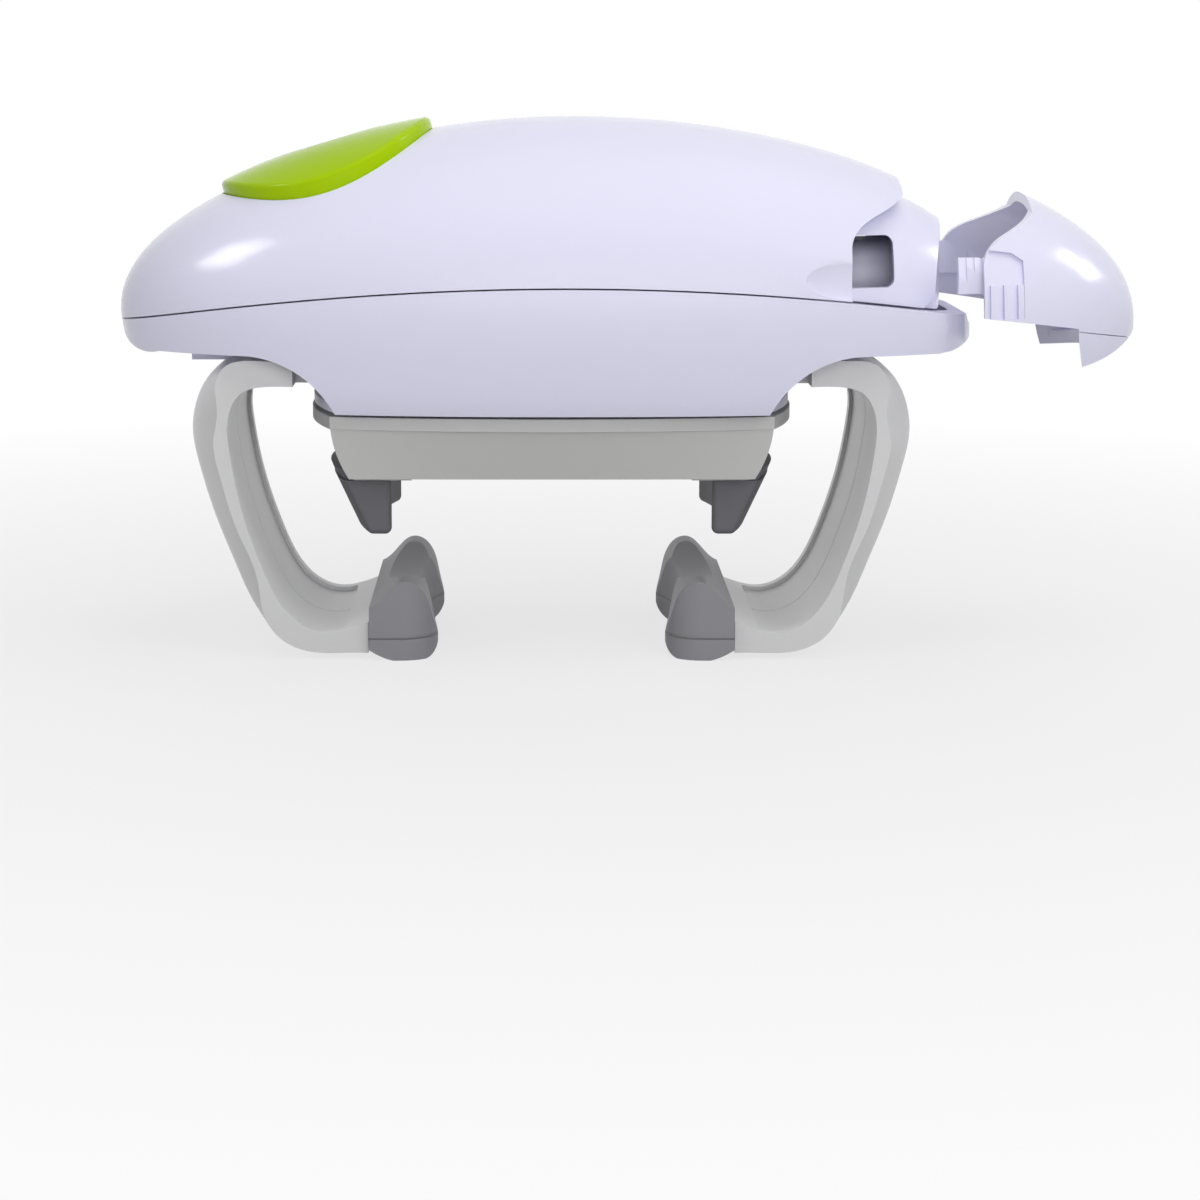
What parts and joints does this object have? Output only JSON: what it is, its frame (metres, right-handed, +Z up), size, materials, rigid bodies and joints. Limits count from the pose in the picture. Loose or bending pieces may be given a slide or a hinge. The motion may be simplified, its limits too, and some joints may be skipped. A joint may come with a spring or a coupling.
{
  "type": "jar opener",
  "caption": "Battery jar opener: egg-shaped housing on padded arms that grip the jar, with a turntable whose jaws grip and turn the lid, and a start button.",
  "frame": {"origin": "on the turntable's axis, at the level of the table the arm pads stand on", "axes": "+Z up, -X towards the nose with the start button, +X towards the tail with the battery cover, Y across"},
  "size_m": [0.2514, 0.095, 0.1299],
  "materials": {
    "shell_white": "glossy",
    "button_green": "glossy",
    "turntable_grey": "satin",
    "arm_grey": "satin",
    "pad_rubber": "matte",
    "lid_rubber": "matte",
    "plate_grey": "satin",
    "gear_white": "satin",
    "steel": "satin",
    "switch_black": "satin",
    "plunger_red": "satin"
  },
  "bodies": {
    "housing": {"upper_shell": "shell_white", "lower_shell": "shell_white", "base_plate": "shell_white", "base_screws": "steel", "shell_screws": "steel", "battery_tray": "shell_white", "battery_contacts": "steel", "start_switch": "switch_black", "switch_terminals": "steel", "motor_can": "steel", "motor_end_cap": "switch_black", "motor_terminals": "steel", "middle_plate": "plate_grey", "upper_plate": "plate_grey", "pillars": "steel", "train_screws": "steel", "axles": "steel"},
    "cover": {"battery_cover": "shell_white", "cover_lip": "shell_white", "cover_contact": "steel"},
    "button": {"start_button": "button_green", "button_stem": "plate_grey", "button_spring": "steel"},
    "plunger": {"switch_plunger": "plunger_red"},
    "turntable": {"turntable_frame": "turntable_grey", "turntable_retainer": "steel", "pinion_cover_plate": "plate_grey", "cover_disc": "plate_grey", "centre_screw": "steel", "drive_shaft": "steel", "drive_gear": "gear_white"},
    "left_jaw": {"jaw_left_pad": "lid_rubber", "jaw_left_carrier": "turntable_grey", "jaw_left_rack": "turntable_grey"},
    "right_jaw": {"jaw_right_pad": "lid_rubber", "jaw_right_carrier": "turntable_grey", "jaw_right_rack": "turntable_grey"},
    "jaw_gear": {"jaw_pinion": "gear_white"},
    "left_arm": {"arm_left_frame": "arm_grey", "arm_left_rack": "arm_grey", "arm_left_pad": "pad_rubber"},
    "right_arm": {"arm_right_frame": "arm_grey", "arm_right_rack": "arm_grey", "arm_right_pad": "pad_rubber"},
    "arm_gear": {"arm_pinion": "gear_white"},
    "lay": {"lay_gear": "gear_white"},
    "second": {"second_gear": "gear_white"},
    "motor_rotor": {"motor_pinion": "steel", "motor_shaft": "steel"}
  },
  "joints": [
    {"name": "turntable_turn", "type": "hinge", "parent": "housing", "child": "turntable", "pos_m": [0, 0, 0.06], "axis": [0, 0, 1], "continuous": true},
    {"name": "lay_gear_spin", "type": "hinge", "parent": "housing", "child": "lay", "pos_m": [-0.034, 0, 0.083], "axis": [0, 0, 1], "continuous": true},
    {"name": "second_gear_spin", "type": "hinge", "parent": "housing", "child": "second", "pos_m": [-0.0132, 0, 0.088], "axis": [0, 0, 1], "continuous": true},
    {"name": "motor_spin", "type": "hinge", "parent": "housing", "child": "motor_rotor", "pos_m": [0.0048, 0, 0.095], "axis": [0, 0, 1], "continuous": true},
    {"name": "arm_left_slide", "type": "slide", "parent": "housing", "child": "left_arm", "axis": [-1, 0, 0], "range_m": [-0.012, 0.026]},
    {"name": "arm_right_slide", "type": "slide", "parent": "housing", "child": "right_arm", "axis": [1, 0, 0], "range_m": [-0.012, 0.026]},
    {"name": "arm_pinion_spin", "type": "hinge", "parent": "housing", "child": "arm_gear", "pos_m": [0, 0, 0.069], "axis": [0, 0, 1], "range_deg": [-126, 59]},
    {"name": "jaw_left_slide", "type": "slide", "parent": "turntable", "child": "left_jaw", "axis": [1, 0, 0], "range_m": [-0.006, 0.0165]},
    {"name": "jaw_right_slide", "type": "slide", "parent": "turntable", "child": "right_jaw", "axis": [-1, 0, 0], "range_m": [-0.006, 0.0165]},
    {"name": "jaw_pinion_spin", "type": "hinge", "parent": "turntable", "child": "jaw_gear", "pos_m": [0, 0, 0.052], "axis": [0, 0, 1], "range_deg": [-28, 75]},
    {"name": "button_press", "type": "slide", "parent": "housing", "child": "button", "axis": [0.2807, 0, -0.9598], "range_m": [0, 0.0025], "stiffness_N_per_m": 400, "springref_m": -0.002, "deforming": ["button_spring"]},
    {"name": "plunger_press", "type": "slide", "parent": "housing", "child": "plunger", "axis": [0.2807, 0, -0.9598], "range_m": [0, 0.0025]},
    {"name": "cover_slide", "type": "slide", "parent": "housing", "child": "cover", "axis": [0.9919, 0, -0.1271], "range_m": [-0.0312, 0]}
  ],
  "couplings": [
    {"joint": "lay_gear_spin", "follows": "turntable_turn", "ratio": -4.6667},
    {"joint": "second_gear_spin", "follows": "turntable_turn", "ratio": 15.556},
    {"joint": "motor_spin", "follows": "turntable_turn", "ratio": -62.222},
    {"joint": "arm_right_slide", "follows": "arm_left_slide", "ratio": 1},
    {"joint": "arm_pinion_spin", "follows": "arm_left_slide", "rad_per_m": -83.333},
    {"joint": "jaw_right_slide", "follows": "jaw_left_slide", "ratio": 1},
    {"joint": "jaw_pinion_spin", "follows": "jaw_left_slide", "rad_per_m": 77.042},
    {"joint": "plunger_press", "follows": "button_press", "ratio": 1}
  ]
}
